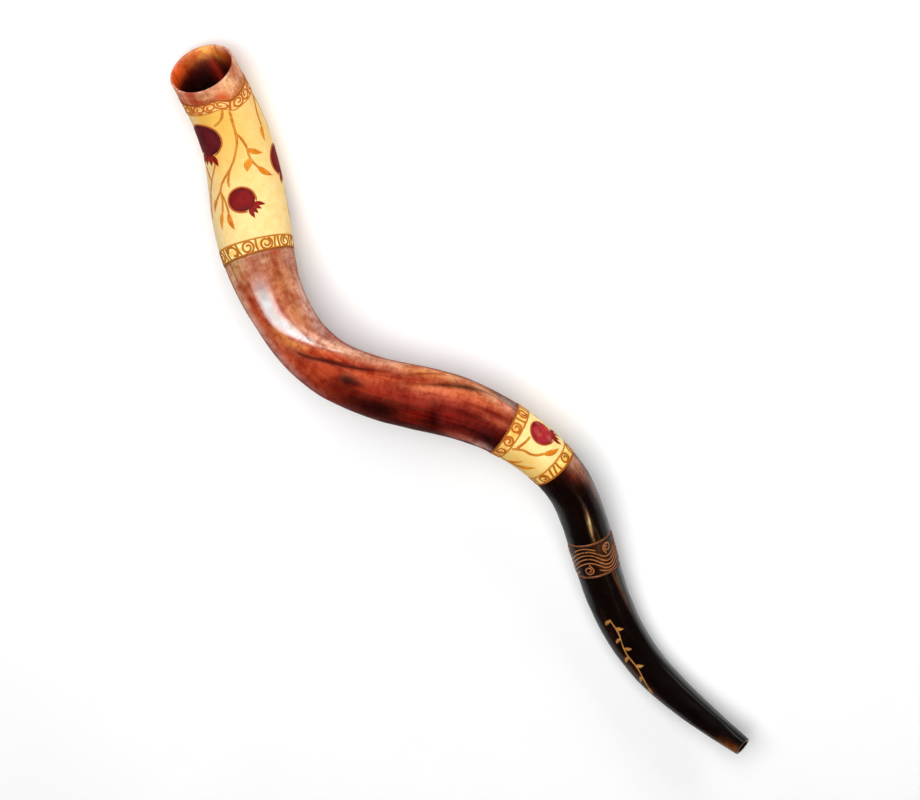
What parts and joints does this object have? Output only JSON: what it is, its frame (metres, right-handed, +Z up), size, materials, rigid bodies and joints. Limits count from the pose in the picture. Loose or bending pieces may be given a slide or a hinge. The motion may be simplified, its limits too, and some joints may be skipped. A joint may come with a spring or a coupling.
{
  "type": "shofar",
  "caption": "Long twisted animal-horn trumpet, hollow from bell to mouthpiece, with painted fruit-and-vine bands.",
  "frame": {"origin": "bottom centre of the bounding box, on the surface that the horn lies on", "axes": "+X along the length towards the bell, +Z up, with the horn lying on its side at rest"},
  "size_m": [0.8551, 0.1566, 0.1086],
  "materials": {
    "horn": "polished",
    "ivory_lacquer": "gloss",
    "border_lacquer": "gloss",
    "pomegranate_lacquer": "gloss",
    "vine_lacquer": "gloss",
    "dark_lacquer": "gloss",
    "copper_line": "satin"
  },
  "bodies": {
    "root": {"horn": "horn", "bell_upper_border": "border_lacquer", "bell_lower_border": "border_lacquer", "bell_panel": "ivory_lacquer", "mid_upper_border": "border_lacquer", "mid_lower_border": "border_lacquer", "mid_panel": "ivory_lacquer", "tip_band": "dark_lacquer", "tip_band_upper_ring": "copper_line", "tip_band_lower_ring": "copper_line", "tip_vine": "copper_line", "bell_pomegranate_1": "pomegranate_lacquer", "bell_pomegranate_2": "pomegranate_lacquer", "bell_pomegranate_3": "pomegranate_lacquer", "bell_pomegranate_4": "pomegranate_lacquer", "bell_pomegranate_5": "pomegranate_lacquer", "bell_pomegranate_6": "pomegranate_lacquer", "bell_spray_1": "vine_lacquer", "bell_spray_2": "vine_lacquer", "bell_spray_3": "vine_lacquer", "bell_spray_4": "vine_lacquer", "bell_spray_5": "vine_lacquer", "bell_spray_6": "vine_lacquer", "mid_pomegranate_1": "pomegranate_lacquer", "mid_pomegranate_2": "pomegranate_lacquer", "mid_spray_1": "vine_lacquer", "mid_spray_2": "vine_lacquer", "mid_spray_3": "vine_lacquer", "mid_spray_4": "vine_lacquer", "tip_band_scroll_1": "copper_line", "tip_band_scroll_2": "copper_line", "tip_band_scroll_3": "copper_line", "tip_band_scroll_4": "copper_line", "tip_band_scroll_5": "copper_line"}
  },
  "joints": []
}
